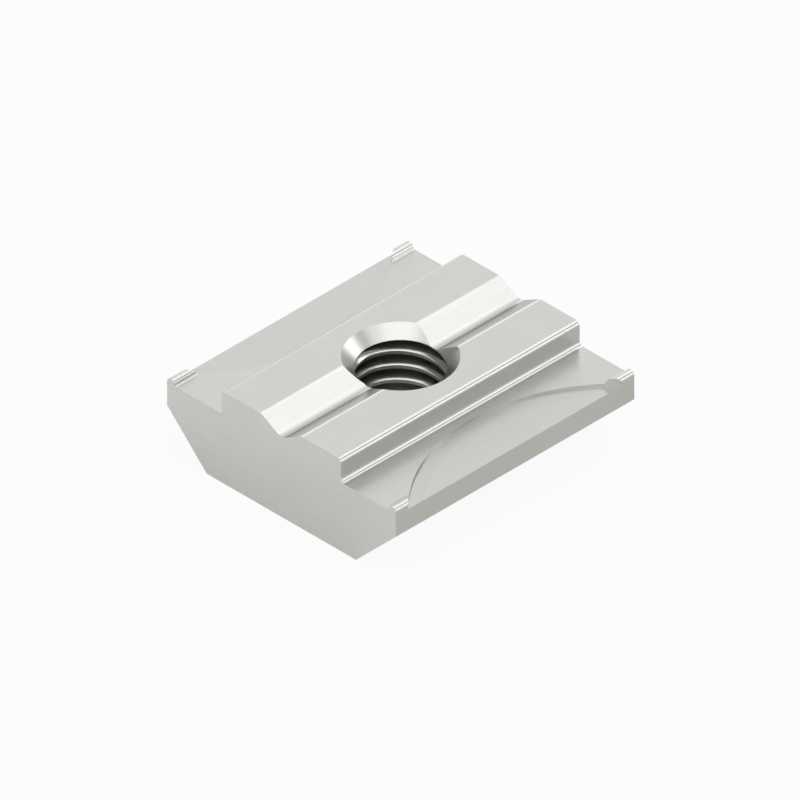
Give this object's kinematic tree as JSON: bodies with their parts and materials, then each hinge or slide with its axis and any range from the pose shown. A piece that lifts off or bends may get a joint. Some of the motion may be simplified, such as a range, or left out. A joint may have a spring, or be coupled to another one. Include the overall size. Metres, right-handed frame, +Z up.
{
  "type": "t slot nut",
  "caption": "Steel nut for a 12 mm T slot, with a grooved neck, relieved flanges with corner beads, and a countersunk M8 through thread.",
  "frame": {"origin": "centre of the flat underside, on the axis of the threaded hole", "axes": "+X across the slot, +Y along the slot, +Z up the threaded hole and out through the slot's mouth"},
  "size_m": [0.023, 0.024, 0.008],
  "materials": {
    "zinc_plated_steel": "bright zinc plating on milled steel"
  },
  "bodies": {
    "root": {"t_slot_nut": "zinc_plated_steel"}
  },
  "joints": []
}
